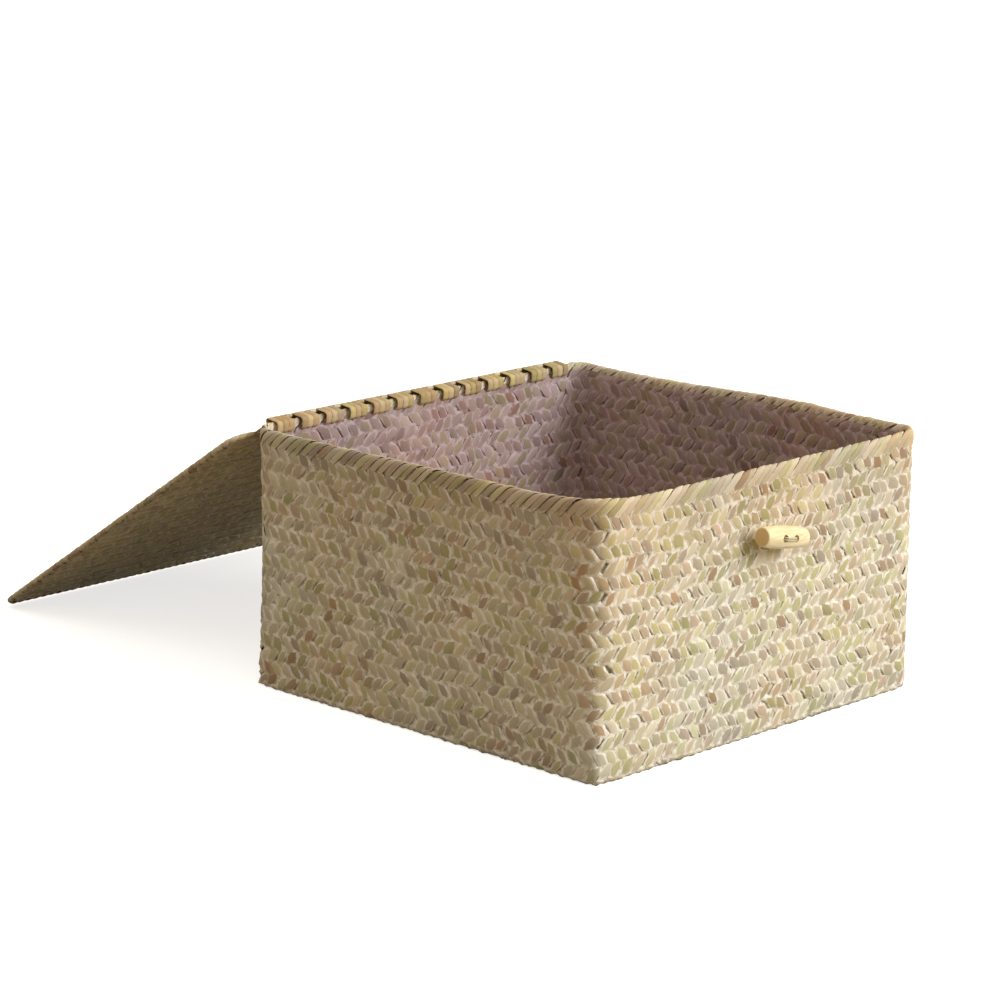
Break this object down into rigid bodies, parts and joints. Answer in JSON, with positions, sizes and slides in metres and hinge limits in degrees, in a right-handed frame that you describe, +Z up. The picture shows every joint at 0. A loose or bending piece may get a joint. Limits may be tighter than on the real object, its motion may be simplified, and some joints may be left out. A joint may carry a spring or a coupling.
{
  "type": "woven lidded box",
  "caption": "Square plaited seagrass box with a flap lid laced to the back rim, a cord loop on the lid and a turned wooden toggle on the front wall.",
  "frame": {"origin": "on the table, under the middle of the base", "axes": "+Z up, -Y out of the front wall that carries the toggle, +Y towards the laced hinge and the open lid, +X to the right seen from the front"},
  "size_m": [0.2156, 0.455, 0.1233],
  "materials": {
    "outer_plait": "matt dry seagrass",
    "lining_plait": "matt dry seagrass",
    "rim_fold": "satin dry seagrass",
    "lashing": "satin dry seagrass",
    "toggle_wood": "polished pale wood",
    "thread": "matt twine",
    "loop_cord": "matt twine"
  },
  "bodies": {
    "basket": {"outer_base": "outer_plait", "lining_base": "lining_plait", "outer_front_wall": "outer_plait", "lining_front_wall": "lining_plait", "rim_front": "rim_fold", "outer_back_wall": "outer_plait", "lining_back_wall": "lining_plait", "rim_back": "rim_fold", "outer_left_wall": "outer_plait", "lining_left_wall": "lining_plait", "rim_left": "rim_fold", "outer_right_wall": "outer_plait", "lining_right_wall": "lining_plait", "rim_right": "rim_fold", "hinge_lash_01": "lashing", "hinge_lash_02": "lashing", "hinge_lash_03": "lashing", "hinge_lash_04": "lashing", "hinge_lash_05": "lashing", "hinge_lash_06": "lashing", "hinge_lash_07": "lashing", "hinge_lash_08": "lashing", "hinge_lash_09": "lashing", "hinge_lash_10": "lashing", "hinge_lash_11": "lashing", "hinge_lash_12": "lashing", "hinge_lash_13": "lashing"},
    "lid": {"lid_outer_mat": "outer_plait", "lid_inner_mat": "lining_plait", "lid_left_border": "rim_fold", "lid_right_border": "rim_fold", "lid_front_border": "rim_fold", "lid_hinge_fold": "rim_fold"},
    "loop": {"closure_loop": "loop_cord"},
    "toggle": {"toggle": "toggle_wood", "toggle_thread": "thread"}
  },
  "joints": [
    {"name": "lid_hinge", "type": "hinge", "parent": "basket", "child": "lid", "pos_m": [0, 0.1087, 0.12065], "axis": [1, 0, 0], "range_deg": [0, 212.84]},
    {"name": "loop_flex", "type": "hinge", "parent": "lid", "child": "loop", "pos_m": [0, 0.29312, 0.0018], "axis": [1, 0, 0], "range_deg": [0, 30]},
    {"name": "toggle_swivel", "type": "hinge", "parent": "basket", "child": "toggle", "pos_m": [0, -0.1146, 0.09], "axis": [0, 1, 0], "range_deg": [-40, 20]}
  ]
}
